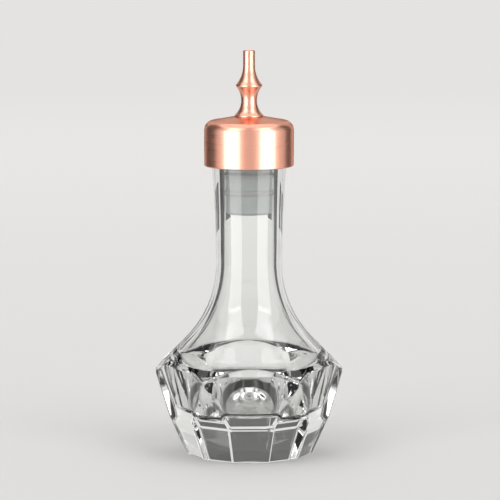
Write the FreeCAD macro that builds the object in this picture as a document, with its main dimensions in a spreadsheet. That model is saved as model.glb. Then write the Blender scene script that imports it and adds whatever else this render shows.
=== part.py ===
import FreeCAD, Part
import math
import os
import Sketcher

# Bitters bottle: cut glass bottle with a pull-out dasher top. Millimetres, Z up, base on Z = 0.

doc = FreeCAD.newDocument("BittersBottle")
sheet = doc.addObject("Spreadsheet::Sheet", "Sizes")

# Driving sizes: name, value. Heights stack up from the base, and radii step out from the bores.
DRIVING = [
    # glass bottle, cut body
    ("belt_radius", "30.3"),
    ("belt_height", "26.8"),
    ("foot_draw", "10.3"),
    ("rim_draw", "4.9"),
    ("foot_height", "12.5"),
    ("polish_radius", "0.9"),
    ("facet_count", "6"),
    ("shoulder_sweep_radius", "35"),
    # glass bottle, neck and lip
    ("bottle_height", "100"),
    ("neck_bore_radius", "8"),
    ("neck_wall", "2.4"),
    ("neck_flare", "1.4"),
    ("neck_band", "3.2"),
    ("lip_step", "0.8"),
    ("lip_depth", "4"),
    ("lip_round", "0.8"),
    # glass bottle, inside and underside
    ("floor_height", "14.4"),
    ("floor_radius", "14"),
    ("floor_corner_radius", "4.5"),
    ("belt_wall", "3.4"),
    ("inner_nose_radius", "6"),
    ("punt_radius", "14"),
    ("punt_depth", "1.2"),
    # cap shell
    ("cap_wall", "0.7"),
    ("skirt_length", "11.4"),
    ("cap_shoulder_run", "2.9"),
    ("cap_shoulder_rise", "3"),
    ("dome_rise", "1.1"),
    ("dome_seat_margin", "0.4"),
    # dasher spout
    ("spout_bore_radius", "1.1"),
    ("stem_wall", "1.4"),
    ("stem_length", "11.5"),
    ("collar_thickness", "0.5"),
    ("collar_step", "2.05"),
    ("collar_rise", "4.6"),
    ("waist_wall", "1.4"),
    ("knuckle_step", "1.65"),
    ("knuckle_rise", "4.625"),
    ("knuckle_land", "0.35"),
    ("tip_rise", "6.025"),
    ("tip_length", "4.8"),
    ("tip_wall", "0.78"),
    ("tip_round", "0.2"),
    # washer and nut under the dome
    ("washer_radius", "5"),
    ("washer_thickness", "0.8"),
    ("nut_flats", "8"),
    ("nut_thickness", "2.6"),
    # stopper and its seals
    ("gasket_thickness", "1.2"),
    ("gasket_inset", "0.4"),
    ("flange_thickness", "2"),
    ("flange_bevel", "0.6"),
    ("first_ring_drop", "6.4"),
    ("ring_pitch", "5.5"),
    ("ring_depth", "1.2"),
    ("ring_width", "2"),
    ("ring_lip_width", "0.6"),
    ("plug_tail", "7"),
    ("plug_bevel", "0.8"),
    ("passage_radius", "2"),
    ("insert_rim", "2.1"),
    ("insert_length", "5"),
    ("insert_mouth_rim", "1.4"),
    ("orifice_radius", "0.9"),
    ("orifice_length", "1.4"),
    # clearances
    ("skirt_gap", "0.9"),
    ("plug_gap", "0.6"),
    ("turning_gap", "0.1"),
    ("ring_gap", "0.06"),
    ("fit_gap", "0.03"),
    ("flange_gap", "0.1"),
]

# Sizes that follow from the driving ones: name, formula.
DERIVED = [
    ("zero", "=0"),
    # cut body: the blank and the cuts reach past the finished glass
    ("foot_apothem", "=belt_radius - foot_draw"),
    ("main_belt_apothem", "=belt_radius * cos(180 / facet_count)"),
    ("foot_top_apothem", "=belt_radius - rim_draw"),
    ("main_flare", "=(main_belt_apothem - foot_top_apothem) / (belt_height - foot_height)"),
    ("corner_flare", "=rim_draw / (belt_height - foot_height)"),
    ("cut_top", "=belt_height * 1.5"),
    ("cut_outside", "=belt_radius * 1.25"),
    ("main_cut_top_apothem", "=main_belt_apothem + main_flare * (cut_top - belt_height)"),
    ("corner_cut_top_apothem", "=belt_radius + corner_flare * (cut_top - belt_height)"),
    ("arch_limit_height", "=belt_height + (belt_radius - main_belt_apothem) * 1.5"),
    ("blank_radius", "=belt_radius * 1.1"),
    ("cone_sum", "=belt_radius + belt_height"),
    ("blank_height", "=cone_sum - blank_radius"),
    # neck and lip
    ("neck_waist_radius", "=neck_bore_radius + neck_wall"),
    ("neck_top_radius", "=neck_waist_radius + neck_flare"),
    ("lip_radius", "=neck_top_radius + lip_step"),
    ("lip_crown_radius", "=lip_radius - lip_round"),
    ("lip_shoulder_height", "=bottle_height - lip_round"),
    ("lip_under_height", "=bottle_height - lip_depth"),
    ("lip_root_height", "=lip_under_height - lip_step"),
    ("neck_top_height", "=lip_root_height - neck_band"),
    ("sweep_start_radius", "=neck_waist_radius + shoulder_sweep_radius * (1 - cos(45))"),
    ("sweep_start_height", "=cone_sum - sweep_start_radius"),
    ("neck_waist_height", "=sweep_start_height + shoulder_sweep_radius * sin(45)"),
    ("neck_rise", "=neck_top_height - neck_waist_height"),
    ("neck_arc_radius", "=(neck_rise ^ 2 + neck_flare ^ 2) / (2 * neck_flare)"),
    # inside: the floor's corner turns by the angle of a 3-4-5 triangle
    ("inner_belt_radius", "=main_belt_apothem - belt_wall"),
    ("inner_sweep_radius", "=shoulder_sweep_radius + neck_wall"),
    ("inner_sweep_start_radius", "=sweep_start_radius - neck_wall * cos(45)"),
    ("inner_sweep_start_height", "=sweep_start_height - neck_wall * sin(45)"),
    ("inner_cone_sum", "=inner_sweep_start_radius + inner_sweep_start_height"),
    ("inner_nose_end_radius", "=inner_belt_radius - inner_nose_radius * (1 - cos(45))"),
    ("inner_nose_end_height", "=inner_cone_sum - inner_nose_end_radius"),
    ("inner_belt_height", "=inner_nose_end_height - inner_nose_radius * sin(45)"),
    ("floor_corner_end_radius", "=floor_radius + floor_corner_radius * 0.8"),
    ("floor_corner_end_height", "=floor_height + floor_corner_radius * 0.4"),
    ("bore_mouth_radius", "=neck_bore_radius + lip_round"),
    ("bore_mouth_height", "=bottle_height - lip_round"),
    ("bore_cut_top", "=bottle_height * 1.02"),
    ("punt_arc_radius", "=(punt_radius ^ 2 + punt_depth ^ 2) / (2 * punt_depth)"),
    # the top's stack, from the bottle's lip up to the spout's seat
    ("gasket_low_height", "=bottle_height + turning_gap"),
    ("gasket_high_height", "=gasket_low_height + gasket_thickness"),
    ("flange_low_height", "=gasket_high_height + turning_gap"),
    ("nut_low_height", "=flange_low_height + flange_thickness"),
    ("washer_low_height", "=nut_low_height + nut_thickness"),
    ("dome_under_height", "=washer_low_height + washer_thickness"),
    ("dome_seat_height", "=dome_under_height + cap_wall"),
    # cap shell: the shoulder's arc leaves the skirt upright
    ("cap_inner_radius", "=lip_radius + skirt_gap"),
    ("cap_radius", "=cap_inner_radius + cap_wall"),
    ("dome_edge_radius", "=cap_radius - cap_shoulder_run"),
    ("dome_edge_height", "=dome_seat_height - dome_rise"),
    ("dome_edge_inner_height", "=dome_edge_height - cap_wall"),
    ("skirt_top_height", "=dome_edge_height - cap_shoulder_rise"),
    ("skirt_height", "=skirt_top_height - skirt_length"),
    ("cap_shoulder_radius", "=(cap_shoulder_run ^ 2 + cap_shoulder_rise ^ 2) / (2 * cap_shoulder_run)"),
    ("inner_run", "=cap_shoulder_run - cap_wall"),
    ("inner_rise", "=cap_shoulder_rise - cap_wall"),
    ("cap_inner_shoulder_radius", "=(inner_run ^ 2 + inner_rise ^ 2) / (2 * inner_run)"),
    ("rim_round", "=cap_wall / 2"),
    ("rim_height", "=skirt_height + rim_round"),
    ("rim_middle_radius", "=cap_radius - rim_round"),
    ("dome_seat_radius", "=washer_radius + dome_seat_margin"),
    # dasher spout
    ("stem_radius", "=spout_bore_radius + stem_wall"),
    ("stem_end_height", "=dome_seat_height - stem_length"),
    ("cap_hole_radius", "=stem_radius + fit_gap"),
    ("waist_radius", "=spout_bore_radius + waist_wall"),
    ("collar_radius", "=waist_radius + collar_step"),
    ("knuckle_radius", "=waist_radius + knuckle_step"),
    ("tip_radius", "=spout_bore_radius + tip_wall"),
    ("tip_crown_radius", "=tip_radius - tip_round"),
    ("collar_top_height", "=dome_seat_height + collar_thickness"),
    ("waist_height", "=collar_top_height + collar_rise"),
    ("knuckle_low_height", "=waist_height + knuckle_rise"),
    ("knuckle_high_height", "=knuckle_low_height + knuckle_land"),
    ("tip_root_height", "=knuckle_high_height + tip_rise"),
    ("spout_height", "=tip_root_height + tip_length"),
    ("tip_edge_height", "=spout_height - tip_round"),
    ("tip_step", "=knuckle_radius - tip_radius"),
    ("collar_sweep_radius", "=(collar_step ^ 2 + collar_rise ^ 2) / (2 * collar_step)"),
    ("knuckle_sweep_radius", "=(knuckle_step ^ 2 + knuckle_rise ^ 2) / (2 * knuckle_step)"),
    ("tip_sweep_radius", "=(tip_step ^ 2 + tip_rise ^ 2) / (2 * tip_step)"),
    # nut, stopper and seals
    ("nut_corner_radius", "=nut_flats / 2 / cos(30)"),
    ("gasket_radius", "=lip_radius - gasket_inset"),
    ("flange_radius", "=cap_inner_radius - flange_gap"),
    ("flange_bevel_radius", "=flange_radius - flange_bevel"),
    ("flange_bevel_height", "=nut_low_height - flange_bevel"),
    ("plug_radius", "=neck_bore_radius - plug_gap"),
    ("ring_radius", "=neck_bore_radius - ring_gap"),
    ("ring_seat_radius", "=plug_radius - ring_depth"),
    ("ring_lip_inset", "=(ring_width - ring_lip_width) / 2"),
    ("upper_ring_low", "=flange_low_height - first_ring_drop - ring_width / 2"),
    ("upper_ring_high", "=upper_ring_low + ring_width"),
    ("upper_lip_low", "=upper_ring_low + ring_lip_inset"),
    ("upper_lip_high", "=upper_ring_high - ring_lip_inset"),
    ("middle_ring_low", "=upper_ring_low - ring_pitch"),
    ("middle_ring_high", "=middle_ring_low + ring_width"),
    ("middle_lip_low", "=middle_ring_low + ring_lip_inset"),
    ("middle_lip_high", "=middle_ring_high - ring_lip_inset"),
    ("lower_ring_low", "=middle_ring_low - ring_pitch"),
    ("lower_ring_high", "=lower_ring_low + ring_width"),
    ("lower_lip_low", "=lower_ring_low + ring_lip_inset"),
    ("lower_lip_high", "=lower_ring_high - ring_lip_inset"),
    ("plug_end_height", "=lower_ring_low + ring_width / 2 - plug_tail"),
    ("plug_bevel_radius", "=plug_radius - plug_bevel"),
    ("plug_bevel_height", "=plug_end_height + plug_bevel"),
    ("stem_socket_radius", "=stem_radius + fit_gap"),
    ("stem_socket_height", "=stem_end_height - turning_gap"),
    ("insert_seat_radius", "=plug_bevel_radius - insert_rim + fit_gap"),
    ("insert_radius", "=insert_seat_radius - fit_gap"),
    ("insert_seat_height", "=plug_end_height + insert_length"),
    ("insert_mouth_radius", "=insert_radius - insert_mouth_rim"),
    ("orifice_start_height", "=insert_seat_height - orifice_length"),
]

for row, (name, content) in enumerate(DRIVING + DERIVED, start=1):
    sheet.set("A%d" % row, name)
    sheet.set("B%d" % row, content)
    sheet.setAlias("B%d" % row, name)
doc.recompute()


def size(name):
    value = sheet.get(name)
    return float(getattr(value, "Value", value))


def new_body(node):
    body = doc.addObject("PartDesign::Body", node)
    body.Label = node
    return body


def origin_item(body, role):
    for item in body.Origin.OriginFeatures:
        if item.Role == role:
            return item
    raise ValueError("no origin item " + role)


def new_sketch(body, name, plane):
    sketch = body.newObject("Sketcher::SketchObject", name)
    sketch.AttachmentSupport = [(origin_item(body, plane), "")]
    sketch.MapMode = "FlatFace"
    return sketch


def arc_between(start, end, radius, side):
    # The short arc from start to end, its centre to the left of the chord for side 1.
    middle = (start + end) * 0.5
    chord = end - start
    lift = math.sqrt(max(radius ** 2 - chord.Length ** 2 / 4, 0.0))
    normal = FreeCAD.Vector(-chord.y, chord.x, 0).normalize()
    centre = middle + normal * lift * side
    crown = centre + (middle - centre).normalize() * radius
    return Part.Arc(start, crown, end)


def profile(body, name, plane, outline):
    # A closed outline of (radius name, height name, arc radius name or None, side).
    sketch = new_sketch(body, name, plane)
    points = [FreeCAD.Vector(size(r), size(z), 0) for r, z, _, _ in outline]
    count = len(outline)
    for i, (_, _, arc_name, side) in enumerate(outline):
        start = points[i]
        end = points[(i + 1) % count]
        if arc_name is None:
            sketch.addGeometry(Part.LineSegment(start, end), False)
        else:
            sketch.addGeometry(arc_between(start, end, size(arc_name), side), False)
    ends = [edge_ends(sketch, i, points[i]) for i in range(count)]
    for i in range(count):
        follower = (i + 1) % count
        sketch.addConstraint(Sketcher.Constraint(
            "Coincident", i, ends[i][1], follower, ends[follower][0]))
    for i, (r_name, z_name, arc_name, _) in enumerate(outline):
        place(sketch, "DistanceX", i, ends[i][0], r_name, points[i].x)
        place(sketch, "DistanceY", i, ends[i][0], z_name, points[i].y)
        if arc_name is not None:
            index = sketch.addConstraint(Sketcher.Constraint("Radius", i, size(arc_name)))
            bind(sketch, index, arc_name)
    return sketch


def edge_ends(sketch, index, start):
    # An arc is stored anticlockwise, so its first stored end can be the outline's later point.
    first = sketch.getPoint(index, 1)
    if (first - start).Length < 1e-6:
        return (1, 2)
    return (2, 1)


def place(sketch, kind, geometry, end, name, value):
    if abs(value) < 1e-9:
        index = -1 if kind == "DistanceY" else -2
        sketch.addConstraint(Sketcher.Constraint("PointOnObject", geometry, end, index))
        return
    index = sketch.addConstraint(Sketcher.Constraint(kind, -1, 1, geometry, end, value))
    bind(sketch, index, name)


def bind(sketch, index, name):
    sketch.setExpression("Constraints[%d]" % index, "Sizes." + name)


def revolve(body, name, outline, plane="XZ_Plane"):
    sketch = profile(body, name + "_outline", plane, outline)
    turn = body.newObject("PartDesign::Revolution", name)
    turn.Profile = sketch
    turn.ReferenceAxis = (sketch, ["V_Axis"])
    turn.Angle = 360
    doc.recompute()
    return turn


def groove(body, name, outline, plane="XZ_Plane"):
    sketch = profile(body, name + "_outline", plane, outline)
    cut = body.newObject("PartDesign::Groove", name)
    cut.Profile = sketch
    cut.ReferenceAxis = (sketch, ["V_Axis"])
    cut.Angle = 360
    doc.recompute()
    return cut


def facet_ring(body, name, outline, plane):
    # One straight cut across the blank, repeated about the bottle's axis.
    sketch = profile(body, name + "_outline", plane, outline)
    cut = body.newObject("PartDesign::Pocket", name + "_cut")
    cut.Profile = sketch
    cut.Type = "ThroughAll"
    cut.Midplane = True
    doc.recompute()
    ring = body.newObject("PartDesign::PolarPattern", name)
    ring.Originals = [cut]
    ring.Axis = (origin_item(body, "Z_Axis"), [""])
    ring.Angle = 360
    ring.setExpression("Occurrences", "Sizes.facet_count")
    body.Tip = ring
    doc.recompute()
    return ring


def polish_edges(body, facets):
    # Fire polishing rounds every edge that a facet or the foot's underside has.
    edges = []
    for index, edge in enumerate(facets.Shape.Edges, start=1):
        if edge.Length > 1e-6 and edge.BoundBox.ZMax < size("arch_limit_height"):
            edges.append("Edge%d" % index)
    polish = body.newObject("PartDesign::Fillet", "polished_edges")
    polish.Base = (facets, edges)
    polish.setExpression("Radius", "Sizes.polish_radius")
    doc.recompute()
    return polish


def line(r, z):
    return (r, z, None, 0)


def glass_bottle():
    body = new_body("glass_bottle")
    revolve(body, "bottle_blank", [
        line("zero", "zero"),
        line("blank_radius", "zero"),
        line("blank_radius", "blank_height"),
        ("sweep_start_radius", "sweep_start_height", "shoulder_sweep_radius", -1),
        ("neck_waist_radius", "neck_waist_height", "neck_arc_radius", -1),
        line("neck_top_radius", "neck_top_height"),
        line("neck_top_radius", "lip_root_height"),
        line("lip_radius", "lip_under_height"),
        ("lip_radius", "lip_shoulder_height", "lip_round", 1),
        line("lip_crown_radius", "bottle_height"),
        line("zero", "bottle_height"),
    ])
    facet_ring(body, "main_facets", [
        line("foot_apothem", "zero"),
        line("cut_outside", "zero"),
        line("cut_outside", "cut_top"),
        line("main_cut_top_apothem", "cut_top"),
        line("foot_top_apothem", "foot_height"),
    ], "YZ_Plane")
    facets = facet_ring(body, "corner_facets", [
        line("foot_apothem", "zero"),
        line("cut_outside", "zero"),
        line("cut_outside", "cut_top"),
        line("corner_cut_top_apothem", "cut_top"),
        line("foot_top_apothem", "foot_height"),
    ], "XZ_Plane")
    polish_edges(body, facets)
    groove(body, "cavity", [
        line("zero", "floor_height"),
        ("floor_radius", "floor_height", "floor_corner_radius", 1),
        line("floor_corner_end_radius", "floor_corner_end_height"),
        ("inner_belt_radius", "inner_belt_height", "inner_nose_radius", 1),
        line("inner_nose_end_radius", "inner_nose_end_height"),
        ("inner_sweep_start_radius", "inner_sweep_start_height", "inner_sweep_radius", -1),
        line("neck_bore_radius", "neck_waist_height"),
        ("neck_bore_radius", "bore_mouth_height", "lip_round", -1),
        line("bore_mouth_radius", "bottle_height"),
        line("bore_mouth_radius", "bore_cut_top"),
        line("zero", "bore_cut_top"),
    ])
    groove(body, "punt", [
        line("zero", "zero"),
        ("punt_radius", "zero", "punt_arc_radius", 1),
        line("zero", "punt_depth"),
    ])
    return body


def cap_shell():
    body = new_body("cap_shell")
    revolve(body, "cap_turning", [
        ("cap_inner_radius", "rim_height", "rim_round", 1),
        ("rim_middle_radius", "skirt_height", "rim_round", 1),
        line("cap_radius", "rim_height"),
        ("cap_radius", "skirt_top_height", "cap_shoulder_radius", 1),
        line("dome_edge_radius", "dome_edge_height"),
        line("dome_seat_radius", "dome_seat_height"),
        line("cap_hole_radius", "dome_seat_height"),
        line("cap_hole_radius", "dome_under_height"),
        line("dome_seat_radius", "dome_under_height"),
        ("dome_edge_radius", "dome_edge_inner_height", "cap_inner_shoulder_radius", -1),
        line("cap_inner_radius", "skirt_top_height"),
    ])
    return body


def dasher_spout():
    body = new_body("dasher_spout")
    revolve(body, "spout_turning", [
        line("spout_bore_radius", "stem_end_height"),
        line("stem_radius", "stem_end_height"),
        line("stem_radius", "dome_seat_height"),
        line("collar_radius", "dome_seat_height"),
        ("collar_radius", "collar_top_height", "collar_sweep_radius", -1),
        ("waist_radius", "waist_height", "knuckle_sweep_radius", -1),
        line("knuckle_radius", "knuckle_low_height"),
        ("knuckle_radius", "knuckle_high_height", "tip_sweep_radius", -1),
        line("tip_radius", "tip_root_height"),
        ("tip_radius", "tip_edge_height", "tip_round", 1),
        line("tip_crown_radius", "spout_height"),
        line("spout_bore_radius", "spout_height"),
    ])
    return body


def spout_washer():
    body = new_body("spout_washer")
    revolve(body, "washer_turning", [
        line("cap_hole_radius", "washer_low_height"),
        line("washer_radius", "washer_low_height"),
        line("washer_radius", "dome_under_height"),
        line("cap_hole_radius", "dome_under_height"),
    ])
    return body


def spout_nut():
    body = new_body("spout_nut")
    sketch = new_sketch(body, "nut_outline", "XY_Plane")
    sketch.setExpression("AttachmentOffset.Base.z", "Sizes.nut_low_height")
    corners = [FreeCAD.Vector(size("nut_corner_radius") * math.cos(math.radians(60 * i)),
                              size("nut_corner_radius") * math.sin(math.radians(60 * i)), 0)
               for i in range(6)]
    for i in range(6):
        sketch.addGeometry(Part.LineSegment(corners[i], corners[(i + 1) % 6]), False)
    ring = sketch.addGeometry(Part.Circle(
        FreeCAD.Vector(0, 0, 0), FreeCAD.Vector(0, 0, 1), size("nut_corner_radius")), True)
    hole = sketch.addGeometry(Part.Circle(
        FreeCAD.Vector(0, 0, 0), FreeCAD.Vector(0, 0, 1), size("cap_hole_radius")), False)
    for i in range(6):
        sketch.addConstraint(Sketcher.Constraint("Coincident", i, 2, (i + 1) % 6, 1))
        sketch.addConstraint(Sketcher.Constraint("PointOnObject", i, 1, ring))
        if i > 0:
            sketch.addConstraint(Sketcher.Constraint("Equal", 0, i))
    sketch.addConstraint(Sketcher.Constraint("PointOnObject", 0, 1, -1))
    for circle, name in ((ring, "nut_corner_radius"), (hole, "cap_hole_radius")):
        sketch.addConstraint(Sketcher.Constraint("Coincident", circle, 3, -1, 1))
        index = sketch.addConstraint(Sketcher.Constraint("Radius", circle, size(name)))
        bind(sketch, index, name)
    pad = body.newObject("PartDesign::Pad", "nut_pad")
    pad.Profile = sketch
    pad.setExpression("Length", "Sizes.nut_thickness")
    doc.recompute()
    return body


def stopper_core():
    body = new_body("stopper_core")
    outline = [
        line("stem_socket_radius", "nut_low_height"),
        line("stem_socket_radius", "stem_socket_height"),
        line("passage_radius", "stem_socket_height"),
        line("passage_radius", "insert_seat_height"),
        line("insert_seat_radius", "insert_seat_height"),
        line("insert_seat_radius", "plug_end_height"),
        line("plug_bevel_radius", "plug_end_height"),
        line("plug_radius", "plug_bevel_height"),
    ]
    for place_name in ("lower", "middle", "upper"):
        outline += [
            line("plug_radius", place_name + "_ring_low"),
            line("ring_seat_radius", place_name + "_ring_low"),
            line("ring_seat_radius", place_name + "_ring_high"),
            line("plug_radius", place_name + "_ring_high"),
        ]
    outline += [
        line("plug_radius", "flange_low_height"),
        line("flange_radius", "flange_low_height"),
        line("flange_radius", "flange_bevel_height"),
        line("flange_bevel_radius", "nut_low_height"),
    ]
    revolve(body, "core_turning", outline)
    return body


def seal_ring(place_name):
    body = new_body("seal_ring_" + place_name)
    revolve(body, place_name + "_ring_turning", [
        line("ring_seat_radius", place_name + "_ring_low"),
        line("plug_radius", place_name + "_ring_low"),
        line("ring_radius", place_name + "_lip_low"),
        line("ring_radius", place_name + "_lip_high"),
        line("plug_radius", place_name + "_ring_high"),
        line("ring_seat_radius", place_name + "_ring_high"),
    ])
    return body


def dash_insert():
    body = new_body("dash_insert")
    revolve(body, "insert_turning", [
        line("orifice_radius", "insert_seat_height"),
        line("orifice_radius", "orifice_start_height"),
        line("insert_mouth_radius", "plug_end_height"),
        line("insert_radius", "plug_end_height"),
        line("insert_radius", "insert_seat_height"),
    ])
    return body


def lip_gasket():
    body = new_body("lip_gasket")
    revolve(body, "gasket_turning", [
        line("bore_mouth_radius", "gasket_low_height"),
        line("gasket_radius", "gasket_low_height"),
        line("gasket_radius", "gasket_high_height"),
        line("bore_mouth_radius", "gasket_high_height"),
    ])
    return body


def main():
    builders = [glass_bottle, cap_shell, dasher_spout, spout_washer, spout_nut,
                stopper_core, dash_insert, lip_gasket]
    bodies = [build() for build in builders]
    bodies += [seal_ring(name) for name in ("upper", "middle", "lower")]
    doc.recompute()
    for item in doc.Objects:
        if "Invalid" in item.State or "Error" in item.State:
            raise RuntimeError("%s failed: %s" % (item.Name, item.State))
    os.makedirs("parts", exist_ok=True)
    for body in bodies:
        shape = body.Shape
        if shape.isNull() or not shape.isValid() or len(shape.Solids) != 1:
            raise RuntimeError("bad solid: " + body.Label)
        shape.exportStep("parts/%s.step" % body.Label)
        print("%-20s volume %.1f mm3" % (body.Label, shape.Volume))


main()
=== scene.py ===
"""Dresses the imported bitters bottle: cut glass, a copper dasher top, its seals and a studio stage."""

import math

import bmesh
import bpy
from mathutils import Matrix, Vector


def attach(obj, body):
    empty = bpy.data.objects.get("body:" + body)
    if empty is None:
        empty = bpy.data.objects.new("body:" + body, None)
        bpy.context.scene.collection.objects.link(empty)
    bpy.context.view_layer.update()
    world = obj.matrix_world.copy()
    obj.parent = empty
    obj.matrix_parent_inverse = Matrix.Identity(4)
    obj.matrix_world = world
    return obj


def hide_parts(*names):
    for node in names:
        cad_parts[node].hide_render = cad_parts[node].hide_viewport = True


bl_info = {
    "name": "Bitters Bottle",
    "version": (1, 0, 0),
    "blender": (4, 5, 0),
    "location": "View3D > Sidebar > Bitters",
    "description": "Builds the visual pieces of a cut glass bitters bottle with a copper dasher top",
    "category": "Object",
}

MM = 0.001
# Steps in a full turn of a spun mesh, and the angle of one step along an arc of its outline
TURN_STEPS = 144
ARC_STEP = math.radians(3)
# Points closer than this become one
MERGE_DISTANCE = 0.002 * MM
# At this weight the largest face alone sets a shared normal, so that facets look flat
NORMAL_WEIGHT = 100
# Place of the colour among the Mix node's results
MIXED_COLOUR = 2

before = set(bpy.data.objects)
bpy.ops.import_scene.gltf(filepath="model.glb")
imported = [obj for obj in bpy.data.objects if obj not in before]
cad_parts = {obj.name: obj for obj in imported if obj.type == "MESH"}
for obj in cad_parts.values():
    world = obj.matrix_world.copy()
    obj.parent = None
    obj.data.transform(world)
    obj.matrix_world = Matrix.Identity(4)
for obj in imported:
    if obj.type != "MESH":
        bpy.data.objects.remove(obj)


def srgb(code):
    """A linear colour with alpha from an sRGB hex code."""
    parts = [int(code[i : i + 2], 16) / 255 for i in (1, 3, 5)]
    linear = [p / 12.92 if p <= 0.04045 else ((p + 0.055) / 1.055) ** 2.4 for p in parts]
    return (*linear, 1.0)


def length(name, description, millimetres):
    """A length property whose default is given in millimetres."""
    return bpy.props.FloatProperty(
        name=name,
        description=description,
        default=millimetres * MM,
        precision=5,
        subtype="DISTANCE",
        unit="LENGTH",
    )


def turn_angle(name, description, degrees):
    """An angle property whose default is given in degrees."""
    return bpy.props.FloatProperty(
        name=name, description=description, default=math.radians(degrees), subtype="ANGLE"
    )


def power(name, description, watts):
    """A lamp's power in watts."""
    return bpy.props.FloatProperty(
        name=name, description=description, default=watts, min=0.0, unit="POWER"
    )


def share(name, description, value):
    """A share between 0 and 1."""
    return bpy.props.FloatProperty(
        name=name, description=description, default=value, min=0.0, max=1.0, subtype="FACTOR"
    )


def colour(name, description, code):
    """A colour property whose default is given as an sRGB hex code."""
    return bpy.props.FloatVectorProperty(
        name=name, description=description, default=srgb(code), size=4, min=0.0, max=1.0, subtype="COLOR"
    )


class GlassSizes(bpy.types.PropertyGroup):
    """Sizes of the cut glass bottle."""

    belt_radius: length("Belt radius", "Axis to a corner of the belt", 30.3)
    belt_height: length("Belt height", "Height of the belt's corners", 26.8)
    foot_apothem: length("Foot apothem", "Axis to a foot facet at the base", 20.0)
    rim_apothem: length("Rim apothem", "Axis to a foot facet at its top", 25.4)
    foot_height: length("Foot height", "Top of the short foot facets", 12.5)
    edge_offset: length("Edge offset", "Width of the polish on each side of a facet's edge", 0.9)
    neck_radius: length("Neck radius", "Neck's outside at its waist", 10.4)
    shoulder_sweep: length("Shoulder sweep", "Radius of the sweep from shoulder to neck", 35.0)
    neck_top_radius: length("Neck top radius", "Neck's outside under the cap", 11.8)
    neck_top_height: length("Neck top height", "Where the flared neck ends", 92.0)
    lip_radius: length("Lip radius", "Outside of the lip", 12.6)
    lip_depth: length("Lip depth", "Height of the lip's band", 4.0)
    lip_round: length("Lip round", "Round on the lip's edges", 0.8)
    height: length("Bottle height", "Base to the top of the lip", 100.0)
    bore_radius: length("Bore radius", "Inside of the neck", 8.0)
    floor_height: length("Floor height", "Thickness of the glass under the cavity", 14.4)
    floor_radius: length("Floor radius", "Flat part of the cavity's floor", 14.0)
    floor_round: length("Floor round", "Round at the edge of the cavity's floor", 4.5)
    belt_wall: length("Belt wall", "Glass between a main facet and the cavity", 3.4)
    nose_round: length("Nose round", "Round of the cavity at the belt", 6.0)
    punt_radius: length("Punt radius", "Radius of the dish under the base", 14.0)
    punt_depth: length("Punt depth", "Depth of the dish under the base", 1.2)


class TopSizes(bpy.types.PropertyGroup):
    """Sizes of the copper cap and the dasher spout."""

    cap_radius: length("Cap radius", "Outside of the cap's skirt", 14.2)
    cap_wall: length("Cap wall", "Thickness of the cap's sheet", 0.7)
    skirt_height: length("Skirt height", "Lower edge of the skirt", 92.0)
    skirt_top: length("Skirt top", "Where the skirt turns into the shoulder", 103.4)
    dome_radius: length("Dome radius", "Edge of the dome", 11.3)
    dome_height: length("Dome height", "Height of the dome's edge", 106.4)
    seat_radius: length("Seat radius", "Flat seat of the spout's collar", 5.4)
    seat_height: length("Seat height", "Height of the collar's seat", 107.5)
    collar_radius: length("Collar radius", "Outside of the spout's collar", 4.55)
    collar_thickness: length("Collar thickness", "Height of the collar's band", 0.5)
    waist_radius: length("Waist radius", "Narrowest part under the knuckle", 2.5)
    waist_height: length("Waist height", "Height of the waist", 112.6)
    knuckle_radius: length("Knuckle radius", "Widest part of the spout", 4.15)
    knuckle_height: length("Knuckle height", "Height of the knuckle's edge", 117.4)
    knuckle_land: length("Knuckle land", "Height of the knuckle's band", 0.35)
    tip_root: length("Tip root", "Where the straight tip starts", 123.6)
    tip_radius: length("Tip radius", "Outside of the tip", 1.88)
    spout_height: length("Spout height", "Top of the tip", 128.4)
    spout_bore: length("Spout bore", "Radius of the passage", 1.1)
    stem_radius: length("Stem radius", "Radius of the stem in the stopper", 2.5)
    stem_end: length("Stem end", "Lower end of the stem", 96.0)
    fit_gap: length("Fit gap", "Gap between the cap's hole and the stem", 0.03)
    edge_round: length("Edge round", "Round on the spout's turned edges", 0.2)


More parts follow.
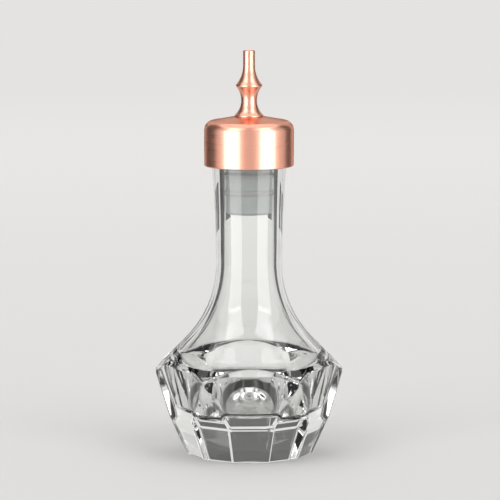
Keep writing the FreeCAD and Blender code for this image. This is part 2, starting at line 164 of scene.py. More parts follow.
class StageSizes(bpy.types.PropertyGroup):
    """The camera and the studio."""

    distance: length("Distance", "Level distance from the axis to the camera", 895.0)
    camera_height: length("Camera height", "Height of the lens above the floor", 191.0)
    aim_height: length("Aim height", "Height that the camera looks at", 65.0)
    side_step: length("Side step", "How far the view is to the right of the axis", 0.3)
    floor_size: length("Floor size", "Side of the floor", 12000.0)
    fade_start: length("Fade start", "Where the floor starts to fade into the surround", 400.0)
    fade_end: length("Fade end", "Where the floor has the surround's colour", 1500.0)
    lamp_distance: length("Lamp distance", "Level distance from the axis to a softbox", 1500.0)
    lamp_height: length("Lamp height", "Height of a softbox's middle", 1600.0)
    lamp_size: length("Lamp size", "Side of a softbox", 1200.0)
    strip_distance: length("Strip distance", "Axis to a strip lamp", 250.0)
    strip_width: length("Strip width", "Width of a strip lamp", 180.0)
    strip_height: length("Strip height", "Height of a strip lamp", 215.0)
    overhead_height: length("Overhead height", "Height of the softbox overhead", 1100.0)
    overhead_step: length("Overhead step", "How far the softbox overhead stands back", 150.0)
    overhead_size: length("Overhead size", "Side of the softbox overhead", 1000.0)
    backdrop_distance: length("Backdrop distance", "Axis to a lamp that lights the floor", 2000.0)
    backdrop_height: length("Backdrop height", "Height of the lamps that light the floor", 1400.0)
    backdrop_size: length("Backdrop size", "Side of a lamp that lights the floor", 2400.0)
    flag_distance: length("Flag distance", "Axis to a dark flag", 300.0)
    left_flag_width: length("Left flag width", "Width of the dark flag on the left", 270.0)
    right_flag_width: length("Right flag width", "Width of the dark flag on the right", 170.0)
    flag_height: length("Flag height", "Height of a dark flag", 400.0)
    card_distance: length("Card distance", "Axis to the dark cards behind the bottle", 600.0)
    lamp_power: power("Lamp power", "Watts of a softbox", 11.0)
    strip_power: power("Strip power", "Watts of a strip lamp", 0.45)
    overhead_power: power("Overhead power", "Watts of the softbox overhead", 2.8)
    backdrop_power: power("Backdrop power", "Watts of a lamp that lights the floor", 14.0)
    turn: turn_angle("Turn", "Camera's angle about the axis", -1.5)
    lamp_angle: turn_angle("Lamp angle", "Angle of the softboxes and strips from the camera", 46.0)
    flag_angle: turn_angle("Flag angle", "Flags' angle from the camera", 118.0)
    backdrop_spread: turn_angle("Backdrop spread", "Cone of the lamps that light the floor", 100.0)
    ceiling_start: share("Ceiling start", "Sine of the rise at which the surround starts to darken", 0.3)
    fill_strength: share("Fill strength", "Strength of the surround's light on the object", 0.35)
    lens: bpy.props.FloatProperty(
        name="Lens",
        description="Focal length on a 36 mm sensor",
        default=204.8,
        min=1.0,
        subtype="DISTANCE_CAMERA",
        unit="CAMERA",
    )


class FinishColours(bpy.types.PropertyGroup):
    """Colours of the materials and the studio."""

    glass: colour("Glass", "Tint of the clear glass", "#FCFDFC")
    copper: colour("Copper", "Plating in its deeper patches", "#EBA891")
    pale_copper: colour("Pale copper", "Plating in its paler patches", "#F1B29C")
    copper_edge: colour("Copper edge", "Plating seen at a slant", "#F0D2C4")
    plastic: colour("Plastic", "Natural plastic where it is thick", "#C6CBCA")
    pale_plastic: colour("Pale plastic", "Natural plastic where it is cloudy", "#D8DCDB")
    silicone: colour("Silicone", "Seals under their bloom", "#BFC3C2")
    bloom: colour("Bloom", "Dusty bloom on the seals", "#D2D5D4")
    steel: colour("Steel", "Zinc plate in its dull patches", "#B0B2B5")
    bright_steel: colour("Bright steel", "Zinc plate in its bright patches", "#C2C4C5")
    paper: colour("Paper", "Floor of the studio", "#E0DFDD")
    felt: colour("Felt", "Dark flags and cards", "#6A6A6A")
    horizon: colour("Horizon", "Studio's surround near the floor", "#E4E3E1")
    ceiling: colour("Ceiling", "Studio's surround overhead", "#B8B7B6")
    fill: colour("Fill", "Surround's light on the object", "#FFFFFF")


# Outlines and turned meshes

def arc_points(start, end, radius, side):
    """Points along the short arc from start to end, its centre to the left of the chord for side 1."""
    chord = end - start
    lift = math.sqrt(max(radius**2 - chord.length_squared / 4, 0.0))
    centre = (start + end) / 2 + Vector((-chord.y, chord.x)).normalized() * lift * side
    sweep = 2 * math.asin(min(chord.length / (2 * radius), 1.0)) * side
    count = max(2, math.ceil(abs(sweep) / ARC_STEP))
    return [centre + Matrix.Rotation(sweep * i / count, 2) @ (start - centre) for i in range(count)]


def outline_points(outline):
    """Points of an outline of (radius, height) or (radius, height, arc radius, side) entries."""
    points = []
    for entry, follower in zip(outline, outline[1:]):
        start = Vector(entry[:2])
        if len(entry) == 2:
            points.append(start)
        else:
            points += arc_points(start, Vector(follower[:2]), entry[2], entry[3])
    points.append(Vector(outline[-1][:2]))
    return points


def sweep_radius(step, rise):
    """Radius of an arc that leaves the axis direction and moves out by step over rise."""
    return (step**2 + rise**2) / (2 * step)


def spin_outline(bm, outline):
    """Turns an outline about the bottle's axis."""
    verts = [bm.verts.new((point.x, 0.0, point.y)) for point in outline_points(outline)]
    edges = [bm.edges.new(pair) for pair in zip(verts, verts[1:])]
    bmesh.ops.spin(
        bm,
        geom=verts + edges,
        cent=(0, 0, 0),
        axis=(0, 0, 1),
        angle=math.tau,
        steps=TURN_STEPS,
        use_merge=True,
    )
    bmesh.ops.remove_doubles(bm, verts=bm.verts, dist=MERGE_DISTANCE)


def link_mesh(bm, name, material):
    """Turns a bmesh into an object of the scene, with one material."""
    mesh = bpy.data.meshes.new(name)
    bm.to_mesh(mesh)
    bm.free()
    mesh.materials.append(material)
    thing = bpy.data.objects.new(name, mesh)
    bpy.context.scene.collection.objects.link(thing)
    return thing


def finish_piece(bm, name, body, node, material):
    """Makes a smooth piece of bm that stands for a CAD node and rides on its body."""
    bmesh.ops.recalc_face_normals(bm, faces=bm.faces)
    piece = link_mesh(bm, name, material)
    piece.data.shade_smooth()
    weigh = piece.modifiers.new("weighted_normals", "WEIGHTED_NORMAL")
    weigh.weight = NORMAL_WEIGHT
    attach(piece, body)
    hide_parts(node)


# Materials

def new_material(name):
    """An empty material and its node tree."""
    material = bpy.data.materials.new(name)
    material.use_nodes = True
    material.node_tree.nodes.clear()
    return material, material.node_tree


def add_node(tree, kind, **settings):
    """Adds a node: a setting named like an input, with _ for a space, sets or links that input."""
    node = tree.nodes.new(kind)
    for key, value in settings.items():
        sockets = [
            socket
            for socket in node.inputs
            if key in (socket.identifier, socket.name.replace(" ", "_"))
        ]
        if not sockets:
            setattr(node, key, value)
        elif isinstance(value, bpy.types.NodeSocket):
            tree.links.new(value, sockets[0])
        else:
            sockets[0].default_value = value
    return node


def flint_glass(colours):
    """Clear flint glass, pressed and fire polished."""
    # Clear and wet to the eye, with slow waves of the skin that bend what is behind it
    material, tree = new_material("pressed_flint_glass")
    coords = add_node(tree, "ShaderNodeTexCoord")
    # The waves are about 14 mm long
    waves = add_node(
        tree, "ShaderNodeTexNoise", Vector=coords.outputs["Object"], Scale=1 / (14 * MM), Detail=0.0
    )
    skin = add_node(
        tree, "ShaderNodeBump", Height=waves.outputs["Fac"], Strength=1.0, Distance=0.06 * MM
    )
    shader = add_node(
        tree,
        "ShaderNodeBsdfPrincipled",
        Base_Color=colours.glass,
        Roughness=0.0,
        IOR=1.51,
        Transmission_Weight=1.0,
        Normal=skin.outputs["Normal"],
    )
    add_node(tree, "ShaderNodeOutputMaterial", Surface=shader.outputs["BSDF"])
    return material


def copper_plate(colours):
    """Rose copper plated on turned brass and polished to a satin, under a thin lacquer."""
    # Broad soft highlights that run down the skirt, with a faint grain round the axis
    material, tree = new_material("satin_copper_plate")
    coords = add_node(tree, "ShaderNodeTexCoord")
    # Real polishing marks are some 0.03 mm apart, and are drawn 0.2 mm apart and 16 mm long to show
    along = add_node(
        tree,
        "ShaderNodeMapping",
        Vector=coords.outputs["Object"],
        Scale=(1 / (16 * MM), 1 / (16 * MM), 1 / (0.2 * MM)),
    )
    grain = add_node(tree, "ShaderNodeTexNoise", Vector=along.outputs["Vector"], Scale=1.0, Detail=3.0)
    satin = add_node(tree, "ShaderNodeMapRange", Value=grain.outputs["Fac"], To_Min=0.24, To_Max=0.34)
    marks = add_node(
        tree, "ShaderNodeBump", Height=grain.outputs["Fac"], Strength=1.0, Distance=0.0015 * MM
    )
    # Patches of slightly paler plating are about 9 mm wide
    patches = add_node(
        tree, "ShaderNodeTexNoise", Vector=coords.outputs["Object"], Scale=1 / (9 * MM), Detail=2.0
    )
    plating = add_node(
        tree,
        "ShaderNodeMix",
        data_type="RGBA",
        Factor=patches.outputs["Fac"],
        A_Color=colours.copper,
        B_Color=colours.pale_copper,
    )
    shader = add_node(
        tree,
        "ShaderNodeBsdfPrincipled",
        Base_Color=plating.outputs[MIXED_COLOUR],
        Metallic=1.0,
        Roughness=satin.outputs["Result"],
        Specular_Tint=colours.copper_edge,
        Coat_Weight=0.15,
        Coat_Roughness=0.15,
        Normal=marks.outputs["Normal"],
    )
    add_node(tree, "ShaderNodeOutputMaterial", Surface=shader.outputs["BSDF"])
    return material


def natural_plastic(colours):
    """Natural polyethylene, injection moulded."""
    # Milky and a little cloudy, with a dull skin, and soft at its edges, where light goes 4 mm in
    material, tree = new_material("moulded_polyethylene")
    coords = add_node(tree, "ShaderNodeTexCoord")
    # The mould's spark marks are some 0.05 mm wide, and are drawn 0.3 mm wide to show
    spark = add_node(
        tree, "ShaderNodeTexNoise", Vector=coords.outputs["Object"], Scale=1 / (0.3 * MM), Detail=2.0
    )
    dull = add_node(tree, "ShaderNodeMapRange", Value=spark.outputs["Fac"], To_Min=0.36, To_Max=0.48)
    skin = add_node(
        tree, "ShaderNodeBump", Height=spark.outputs["Fac"], Strength=1.0, Distance=0.004 * MM
    )
    # Clouds in the plastic are about 3 mm wide
    clouds = add_node(
        tree, "ShaderNodeTexNoise", Vector=coords.outputs["Object"], Scale=1 / (3 * MM), Detail=2.0
    )
    milk = add_node(
        tree,
        "ShaderNodeMix",
        data_type="RGBA",
        Factor=clouds.outputs["Fac"],
        A_Color=colours.plastic,
        B_Color=colours.pale_plastic,
    )
    shader = add_node(
        tree,
        "ShaderNodeBsdfPrincipled",
        Base_Color=milk.outputs[MIXED_COLOUR],
        Roughness=dull.outputs["Result"],
        Subsurface_Weight=0.25,
        Subsurface_Radius=(4 * MM, 4 * MM, 4 * MM),
        Normal=skin.outputs["Normal"],
    )
    add_node(tree, "ShaderNodeOutputMaterial", Surface=shader.outputs["BSDF"])
    return material


def silicone(colours):
    """Silicone rubber, moulded, with a bloom from handling."""
    # Matt pale grey with a dusty speckle
    material, tree = new_material("moulded_silicone")
    coords = add_node(tree, "ShaderNodeTexCoord")
    # Specks of bloom are about 0.5 mm wide
    bloom = add_node(
        tree, "ShaderNodeTexNoise", Vector=coords.outputs["Object"], Scale=1 / (0.5 * MM), Detail=4.0
    )
    matt = add_node(tree, "ShaderNodeMapRange", Value=bloom.outputs["Fac"], To_Min=0.48, To_Max=0.64)
    skin = add_node(
        tree, "ShaderNodeBump", Height=bloom.outputs["Fac"], Strength=1.0, Distance=0.006 * MM
    )
    dust = add_node(
        tree,
        "ShaderNodeMix",
        data_type="RGBA",
        Factor=bloom.outputs["Fac"],
        A_Color=colours.silicone,
        B_Color=colours.bloom,
    )
    shader = add_node(
        tree,
        "ShaderNodeBsdfPrincipled",
        Base_Color=dust.outputs[MIXED_COLOUR],
        Roughness=matt.outputs["Result"],
        Normal=skin.outputs["Normal"],
    )
    add_node(tree, "ShaderNodeOutputMaterial", Surface=shader.outputs["BSDF"])
    return material


def zinc_steel(colours):
    """Steel, turned and zinc plated."""
    # A cool dull shine, broken by fine turning rings and cloudy plate
    material, tree = new_material("zinc_plated_steel")
    coords = add_node(tree, "ShaderNodeTexCoord")
    # Turning rings are about 0.15 mm apart, and break off after some 6 mm
    along = add_node(
        tree,
        "ShaderNodeMapping",
        Vector=coords.outputs["Object"],
        Scale=(1 / (6 * MM), 1 / (6 * MM), 1 / (0.15 * MM)),
    )
    rings = add_node(tree, "ShaderNodeTexNoise", Vector=along.outputs["Vector"], Scale=1.0, Detail=3.0)
    shine = add_node(tree, "ShaderNodeMapRange", Value=rings.outputs["Fac"], To_Min=0.28, To_Max=0.42)
    grooves = add_node(
        tree, "ShaderNodeBump", Height=rings.outputs["Fac"], Strength=1.0, Distance=0.002 * MM
    )
    # Clouds in the plate are about 4 mm wide
    clouds = add_node(
        tree, "ShaderNodeTexNoise", Vector=coords.outputs["Object"], Scale=1 / (4 * MM), Detail=2.0
    )
    plate = add_node(
        tree,
        "ShaderNodeMix",
        data_type="RGBA",
        Factor=clouds.outputs["Fac"],
        A_Color=colours.steel,
        B_Color=colours.bright_steel,
    )
    shader = add_node(
        tree,
        "ShaderNodeBsdfPrincipled",
        Base_Color=plate.outputs[MIXED_COLOUR],
        Metallic=1.0,
        Roughness=shine.outputs["Result"],
        Normal=grooves.outputs["Normal"],
    )
    add_node(tree, "ShaderNodeOutputMaterial", Surface=shader.outputs["BSDF"])
    return material


# The glass bottle

# Degrees from one facet to the next, where main facets and corner facets take turns above the foot
FACET_STEP = 30
# Apothem of a regular hexagon whose corners lie at a radius of 1
HEXAGON_APOTHEM = math.cos(math.pi / 6)
# Sine and cosine of the shoulder's 45 degrees
SHOULDER_SLOPE = math.sin(math.pi / 4)
# Sine and cosine of the angle that the round at the edge of the cavity's floor turns through
FLOOR_SINE = 0.8
FLOOR_COSINE = 0.6
# The blank stands out this far past the belt's corners, for the facets to cut away
BLANK_MARGIN = 3 * MM
# Edges that fold by more than this are polished round, in so many steps
SHARP_ANGLE = math.radians(9)
POLISH_STEPS = 4
# Edges nearer to the axis than this share of the foot's apothem, such as the punt's, aren't polished
POLISH_SHARE = 0.98


def shoulder_top(size):
    """Radius and height at which the shoulder turns into the neck's sweep, and the waist's height."""
    radius = size.neck_radius + size.shoulder_sweep * (1 - SHOULDER_SLOPE)
    height = size.belt_radius + size.belt_height - radius
    return radius, height, height + size.shoulder_sweep * SHOULDER_SLOPE


def blank_outline(size):
    """The moulded blank's outside, from the middle of the punt up to the mouth."""
    blank_radius = size.belt_radius + BLANK_MARGIN
    blank_height = size.belt_height - BLANK_MARGIN
    cone_radius, cone_height, waist_height = shoulder_top(size)
    neck_arc = sweep_radius(size.neck_top_radius - size.neck_radius, size.neck_top_height - waist_height)
    punt_arc = sweep_radius(size.punt_depth, size.punt_radius)
    under = size.height - size.lip_depth
    return [
        (0.0, size.punt_depth, punt_arc, -1),
        (size.punt_radius, 0.0),
        (blank_radius, 0.0),
        (blank_radius, blank_height),
        (cone_radius, cone_height, size.shoulder_sweep, -1),
        (size.neck_radius, waist_height, neck_arc, -1),
        (size.neck_top_radius, size.neck_top_height),
        (size.neck_top_radius, under - (size.lip_radius - size.neck_top_radius)),
        (size.lip_radius, under),
        (size.lip_radius, size.height - size.lip_round, size.lip_round, 1),
        (size.lip_radius - size.lip_round, size.height),
        (size.bore_radius + size.lip_round, size.height),
    ]


def cavity_outline(size):
    """The inside, from the mouth down to the middle of the cavity's floor."""
    wall = size.neck_radius - size.bore_radius
    sweep = size.shoulder_sweep + wall
    _, outer_height, waist_height = shoulder_top(size)
    cone_radius = size.bore_radius + sweep * (1 - SHOULDER_SLOPE)
    cone_height = outer_height - wall * SHOULDER_SLOPE
    belt = size.belt_radius * HEXAGON_APOTHEM - size.belt_wall
    nose_radius = belt - size.nose_round * (1 - SHOULDER_SLOPE)
    nose_height = cone_radius + cone_height - nose_radius
    side_radius = size.floor_radius + size.floor_round * FLOOR_SINE
    side_height = size.floor_height + size.floor_round * (1 - FLOOR_COSINE)
    return [
        (size.bore_radius + size.lip_round, size.height, size.lip_round, 1),
        (size.bore_radius, size.height - size.lip_round),
        (size.bore_radius, waist_height, sweep, 1),
        (cone_radius, cone_height),
        (nose_radius, nose_height, size.nose_round, -1),
        (belt, nose_height - size.nose_round * SHOULDER_SLOPE),
        (side_radius, side_height, size.floor_round, -1),
        (size.floor_radius, size.floor_height),
        (0.0, size.floor_height),
    ]


def cut_facet(bm, angle, apothem, height, flare):
    """Cuts the blank flat by a plane that is apothem from the axis at height and leans out by flare."""
    outward = Vector((math.cos(angle), math.sin(angle), 0.0))
    cut = bmesh.ops.bisect_plane(
        bm,
        geom=bm.verts[:] + bm.edges[:] + bm.faces[:],
        dist=MERGE_DISTANCE,
        plane_co=outward * apothem + Vector((0, 0, height)),
        plane_no=(outward - Vector((0, 0, flare))).normalized(),
        clear_outer=True,
    )
    rim = [item for item in cut["geom_cut"] if isinstance(item, bmesh.types.BMEdge)]
    bmesh.ops.edgeloop_fill(bm, edges=[edge for edge in rim if edge.is_boundary])
    bmesh.ops.remove_doubles(bm, verts=bm.verts, dist=MERGE_DISTANCE)


class BITTERS_OT_glass_bottle(bpy.types.Operator):
    """Spins the blank, cuts its facets, polishes their edges and adds the cavity"""

    bl_idname = "bitters.glass_bottle"
    bl_label = "Glass Bottle"

    def execute(self, context):
        size = context.scene.bitters_glass
        belt_rise = size.belt_height - size.foot_height
        foot_flare = (size.rim_apothem - size.foot_apothem) / size.foot_height
        corner_flare = (size.belt_radius - size.rim_apothem) / belt_rise
        main_flare = (size.belt_radius * HEXAGON_APOTHEM - size.rim_apothem) / belt_rise
        bm = bmesh.new()
        spin_outline(bm, blank_outline(size))
        for i in range(360 // FACET_STEP):
            for flare in (foot_flare, main_flare if i % 2 else corner_flare):
                cut_facet(bm, math.radians(FACET_STEP * i), size.rim_apothem, size.foot_height, flare)
        sharp = [
            edge
            for edge in bm.edges
            if edge.calc_face_angle(0.0) > SHARP_ANGLE
            and edge.verts[0].co.xy.length > size.foot_apothem * POLISH_SHARE
        ]
        bmesh.ops.bevel(
            bm,
            geom=sharp,
            offset=size.edge_offset,
            offset_type="OFFSET",
            affect="EDGES",
            segments=POLISH_STEPS,
            profile=0.5,
            clamp_overlap=False,
            material=-1,
        )
        spin_outline(bm, cavity_outline(size))
        glass = flint_glass(context.scene.bitters_colours)
        finish_piece(bm, "cut_glass_bottle", "bottle", "glass_bottle", glass)
        return {"FINISHED"}


# The dasher top

def cap_outline(size):
    """The cap's sheet as a closed outline, from the inside of its lower rim."""
    inner = size.cap_radius - size.cap_wall
    hole = size.stem_radius + size.fit_gap
    rim = size.cap_wall / 2
    under = size.seat_height - size.cap_wall
    run = size.cap_radius - size.dome_radius
    rise = size.dome_height - size.skirt_top
    shoulder = sweep_radius(run, rise)
    inner_shoulder = sweep_radius(run - size.cap_wall, rise - size.cap_wall)
    return [
        (inner, size.skirt_height + rim, rim, 1),
        (inner + rim, size.skirt_height, rim, 1),
        (size.cap_radius, size.skirt_height + rim),
        (size.cap_radius, size.skirt_top, shoulder, 1),
        (size.dome_radius, size.dome_height),
        (size.seat_radius, size.seat_height),
        (hole, size.seat_height),
        (hole, under),
        (size.seat_radius, under),
        (size.dome_radius, size.dome_height - size.cap_wall, inner_shoulder, -1),
        (inner, size.skirt_top),
        (inner, size.skirt_height + rim),
    ]


def spout_outline(size):
    """The turned spout as a closed outline, from the lower end of its bore."""
    collar_top = size.seat_height + size.collar_thickness
    low = size.knuckle_height - size.knuckle_land / 2
    high = size.knuckle_height + size.knuckle_land / 2
    collar_sweep = sweep_radius(size.collar_radius - size.waist_radius, size.waist_height - collar_top)
    knuckle_sweep = sweep_radius(size.knuckle_radius - size.waist_radius, low - size.waist_height)
    tip_sweep = sweep_radius(size.knuckle_radius - size.tip_radius, size.tip_root - high)
    edge = size.edge_round
    return [
        (size.spout_bore, size.stem_end),
        (size.stem_radius, size.stem_end),
        (size.stem_radius, size.seat_height),
        (size.collar_radius, size.seat_height),
        (size.collar_radius, collar_top, collar_sweep, -1),
        (size.waist_radius, size.waist_height, knuckle_sweep, -1),
        (size.knuckle_radius, low),
        (size.knuckle_radius, high, tip_sweep, -1),
        (size.tip_radius, size.tip_root),
        (size.tip_radius, size.spout_height - edge, edge, 1),
        (size.tip_radius - edge, size.spout_height),
        (size.spout_bore + edge, size.spout_height, edge, 1),
        (size.spout_bore, size.spout_height - edge),
        (size.spout_bore, size.stem_end),
    ]


class BITTERS_OT_dasher_top(bpy.types.Operator):
    """Turns the copper cap and the dasher spout"""

    bl_idname = "bitters.dasher_top"
    bl_label = "Dasher Top"

    def execute(self, context):
        size = context.scene.bitters_top
        copper = copper_plate(context.scene.bitters_colours)
        for name, node, outline in (
            ("copper_cap", "cap_shell", cap_outline(size)),
            ("copper_spout", "dasher_spout", spout_outline(size)),
        ):
            bm = bmesh.new()
            spin_outline(bm, outline)
            finish_piece(bm, name, "dasher_top", node, copper)
        return {"FINISHED"}


class BITTERS_OT_stopper(bpy.types.Operator):
    """Gives the stopper, its seals and the hidden fixings their materials"""

    bl_idname = "bitters.stopper"
    bl_label = "Stopper"

    def execute(self, context):
        colours = context.scene.bitters_colours
        finishes = {
            natural_plastic(colours): ("stopper_core", "dash_insert"),
            silicone(colours): (
                "spout_washer",
                "seal_ring_upper",
                "seal_ring_middle",
                "seal_ring_lower",
                "lip_gasket",
            ),
            zinc_steel(colours): ("spout_nut",),
        }
        for material, nodes in finishes.items():
            for node in nodes:
                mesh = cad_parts[node].data
                mesh.materials.clear()
                mesh.materials.append(material)
        return {"FINISHED"}


# The stage

# Dark cards that draw the foot's facets, by their angle from straight behind and their width in mm
BACK_CARDS = ((0, 180), (-21, 118), (19, 150))
# Lower and upper edges in mm of the two rows of those cards, with a bright slit between the rows
BACK_ROWS = ((30, 65), (115, 232))
# Quarter turns from the camera to the lamps that light the floor, none of them behind the camera
FLOOR_LAMP_QUARTERS = (1, 2, 3)


def dark_felt(colours):
    """Wool felt, dull all over."""
    # Flat and even, so that it gives the glass plain dark lines
    material, tree = new_material("dark_felt")
    shader = add_node(tree, "ShaderNodeBsdfPrincipled", Base_Color=colours.felt, Specular_IOR_Level=0.0)
    add_node(tree, "ShaderNodeOutputMaterial", Surface=shader.outputs["BSDF"])
    return material


def seen_rays(tree):
    """A socket: 1 where the camera, the metal or the glass looks, 0 where light falls on a surface."""
    path = add_node(tree, "ShaderNodeLightPath")
    direct = add_node(
        tree,
        "ShaderNodeMath",
        Value=path.outputs["Is Camera Ray"],
        Value_001=path.outputs["Is Glossy Ray"],
    )
    seen = add_node(
        tree,
        "ShaderNodeMath",
        use_clamp=True,
        Value=direct.outputs["Value"],
        Value_001=path.outputs["Is Transmission Ray"],
    )
    return seen.outputs["Value"]


def backdrop_paper(stage, colours):
    """Matt backdrop paper that fades into the surround away from the bottle."""
    # Flat and even, with no dark line where the floor ends
    material, tree = new_material("backdrop_paper")
    sheet = add_node(tree, "ShaderNodeBsdfPrincipled", Base_Color=colours.paper, Specular_IOR_Level=0.0)
    surround = add_node(tree, "ShaderNodeEmission", Color=colours.horizon, Strength=1.0)
    coords = add_node(tree, "ShaderNodeTexCoord")
    reach = add_node(tree, "ShaderNodeVectorMath", operation="LENGTH", Vector=coords.outputs["Object"])
    fade = add_node(
        tree,
        "ShaderNodeMapRange",
        interpolation_type="SMOOTHSTEP",
        Value=reach.outputs["Value"],
        From_Min=stage.fade_start,
        From_Max=stage.fade_end,
    )
    faded = add_node(
        tree,
        "ShaderNodeMath",
        operation="MULTIPLY",
        Value=fade.outputs["Result"],
        Value_001=seen_rays(tree),
    )
    mix = add_node(
        tree,
        "ShaderNodeMixShader",
        Fac=faded.outputs["Value"],
        Shader=sheet.outputs["BSDF"],
        Shader_001=surround.outputs["Emission"],
    )
    add_node(tree, "ShaderNodeOutputMaterial", Surface=mix.outputs["Shader"])
    return material


def studio_world(stage, colours):
    """A pale surround for the camera, the metal and the glass, with less of it lighting the object."""
    world = bpy.data.worlds.new("studio")
    bpy.context.scene.world = world
    world.use_nodes = True
    tree = world.node_tree
    tree.nodes.clear()
    coords = add_node(tree, "ShaderNodeTexCoord")
    split = add_node(tree, "ShaderNodeSeparateXYZ", Vector=coords.outputs["Generated"])
    rise = add_node(tree, "ShaderNodeMapRange", Value=split.outputs["Z"], From_Min=stage.ceiling_start)
    fade = add_node(
        tree,
        "ShaderNodeMix",
        data_type="RGBA",
        Factor=rise.outputs["Result"],
        A_Color=colours.horizon,
        B_Color=colours.ceiling,
    )
    shown = add_node(tree, "ShaderNodeBackground", Color=fade.outputs[MIXED_COLOUR], Strength=1.0)
    lit = add_node(tree, "ShaderNodeBackground", Color=colours.fill, Strength=stage.fill_strength)
    mix = add_node(
        tree,
        "ShaderNodeMixShader",
        Fac=seen_rays(tree),
        Shader=lit.outputs["Background"],
        Shader_001=shown.outputs["Background"],
    )
    add_node(tree, "ShaderNodeOutputWorld", Surface=mix.outputs["Shader"])


def aim(thing, target):
    """Turns a camera or a lamp to look at a point."""
    thing.rotation_euler = (target - thing.location).to_track_quat("-Z", "Y").to_euler()


def round_axis(distance, angle, height):
    """A point at an angle about the axis, with angle 0 in front of the bottle."""
    return Vector((math.sin(angle) * distance, -math.cos(angle) * distance, height))


def add_card(name, width, tall, place, material):
    """A flat card of the stage."""
    bm = bmesh.new()
    half = Matrix.Diagonal((width / 2, tall / 2, 1.0, 1.0))
    bmesh.ops.create_grid(bm, x_segments=1, y_segments=1, size=1.0, matrix=place @ half)
    card = link_mesh(bm, name, material)
    return card


def upright(distance, angle, height):
    """The place of a card that stands upright and faces the axis."""
    turn = Matrix.Rotation(angle, 4, "Z") @ Matrix.Rotation(math.pi / 2, 4, "X")
    return Matrix.Translation(round_axis(distance, angle, height)) @ turn


def add_flag(name, width, tall, place, material):
    """A dark card that only the glass and the metal see."""
    flag = add_card(name, width, tall, place, material)
    flag.visible_camera = False
    flag.visible_diffuse = False
    flag.visible_shadow = False


def add_softbox(name, place, target, width, tall, watts):
    """An area lamp that looks at target."""
    lamp = bpy.data.lights.new(name, "AREA")
    lamp.shape = "RECTANGLE"
    lamp.size = width
    lamp.size_y = tall
    lamp.energy = watts
    box = bpy.data.objects.new(name, lamp)
    box.location = place
    bpy.context.scene.collection.objects.link(box)
    aim(box, target)
    return box


def add_lamps(stage, middle):
    """Softboxes and strips beside the camera, a softbox overhead and the lamps that light the floor."""
    half = stage.strip_height / 2
    for name, side in (("left", -1), ("right", 1)):
        angle = stage.lamp_angle * side
        spot = round_axis(stage.lamp_distance, angle, stage.lamp_height)
        add_softbox("softbox_" + name, spot, middle, stage.lamp_size, stage.lamp_size, stage.lamp_power)
        spot = round_axis(stage.strip_distance, angle, half)
        level = Vector((0, 0, half))
        strip = add_softbox(
            "strip_" + name, spot, level, stage.strip_width, stage.strip_height, stage.strip_power
        )
        # The strips make the highlights on the metal and the glass, and light nothing else
        strip.visible_diffuse = False
        strip.visible_transmission = False
    spot = Vector((0, stage.overhead_step, stage.overhead_height))
    width = stage.overhead_size
    add_softbox("softbox_overhead", spot, middle, width, width, stage.overhead_power)
    width = stage.backdrop_size
    for quarter in FLOOR_LAMP_QUARTERS:
        spot = round_axis(stage.backdrop_distance, quarter * math.pi / 2, stage.backdrop_height)
        lamp = add_softbox("backdrop_lamp", spot, spot.xy.to_3d(), width, width, stage.backdrop_power)
        lamp.data.spread = stage.backdrop_spread


def add_flags(stage, felt):
    """Dark flags beside the bottle, and two rows of dark cards behind it."""
    for name, side, width in (("left", -1, stage.left_flag_width), ("right", 1, stage.right_flag_width)):
        place = upright(stage.flag_distance, stage.flag_angle * side, stage.flag_height / 2)
        add_flag("flag_" + name, width, stage.flag_height, place, felt)
    for behind, width in BACK_CARDS:
        for low, high in BACK_ROWS:
            place = upright(stage.card_distance, math.radians(180 + behind), (low + high) / 2 * MM)
            add_flag("back_card", width * MM, (high - low) * MM, place, felt)


def add_camera(stage, middle):
    """The camera at the photograph's viewing angle."""
    camera = bpy.data.objects.new("camera", bpy.data.cameras.new("camera"))
    camera.data.lens = stage.lens
    aside = Vector((stage.side_step, 0, 0))
    camera.location = round_axis(stage.distance, stage.turn, stage.camera_height) + aside
    aim(camera, middle + aside)
    bpy.context.scene.collection.objects.link(camera)
    bpy.context.scene.camera = camera


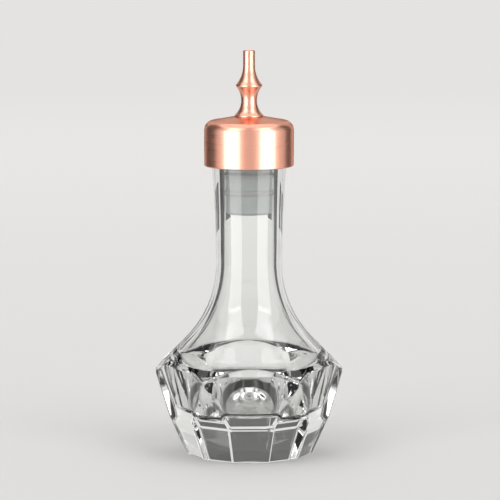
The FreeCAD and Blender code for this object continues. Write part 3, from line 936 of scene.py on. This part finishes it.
class BITTERS_OT_stage(bpy.types.Operator):
    """Adds the floor, the surround, the lamps, the dark flags and the camera"""

    bl_idname = "bitters.stage"
    bl_label = "Stage"

    def execute(self, context):
        stage = context.scene.bitters_stage
        colours = context.scene.bitters_colours
        context.scene.view_settings.view_transform = "Standard"
        middle = Vector((0, 0, stage.aim_height))
        paper = backdrop_paper(stage, colours)
        add_card("studio_floor", stage.floor_size, stage.floor_size, Matrix.Identity(4), paper)
        studio_world(stage, colours)
        add_lamps(stage, middle)
        add_flags(stage, dark_felt(colours))
        add_camera(stage, middle)
        return {"FINISHED"}


class BITTERS_PT_sidebar(bpy.types.Panel):
    """Runs the steps and shows the sizes"""

    bl_idname = "BITTERS_PT_sidebar"
    bl_label = "Bitters Bottle"
    bl_space_type = "VIEW_3D"
    bl_region_type = "UI"
    bl_category = "Bitters"

    def draw(self, context):
        for operator in STEPS:
            self.layout.operator(operator.bl_idname)
        for name in SETTINGS:
            box = self.layout.box()
            group = getattr(context.scene, name)
            for prop in group.bl_rna.properties:
                if not prop.is_readonly and prop.identifier != "name":
                    box.prop(group, prop.identifier)


SETTINGS = {
    "bitters_glass": GlassSizes,
    "bitters_top": TopSizes,
    "bitters_stage": StageSizes,
    "bitters_colours": FinishColours,
}
STEPS = (
    BITTERS_OT_glass_bottle,
    BITTERS_OT_dasher_top,
    BITTERS_OT_stopper,
    BITTERS_OT_stage,
)


def register():
    """Registers the classes and gives the scene its settings."""
    for cls in (*SETTINGS.values(), *STEPS, BITTERS_PT_sidebar):
        bpy.utils.register_class(cls)
    for name, cls in SETTINGS.items():
        setattr(bpy.types.Scene, name, bpy.props.PointerProperty(type=cls))


def unregister():
    """Takes the settings and the classes away again."""
    for name in SETTINGS:
        delattr(bpy.types.Scene, name)
    for cls in reversed((*SETTINGS.values(), *STEPS, BITTERS_PT_sidebar)):
        bpy.utils.unregister_class(cls)


def main():
    """Builds the pieces and the stage."""
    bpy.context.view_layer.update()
    register()
    bpy.ops.bitters.glass_bottle()
    bpy.ops.bitters.dasher_top()
    bpy.ops.bitters.stopper()
    bpy.ops.bitters.stage()


if __name__ == "__main__":
    main()
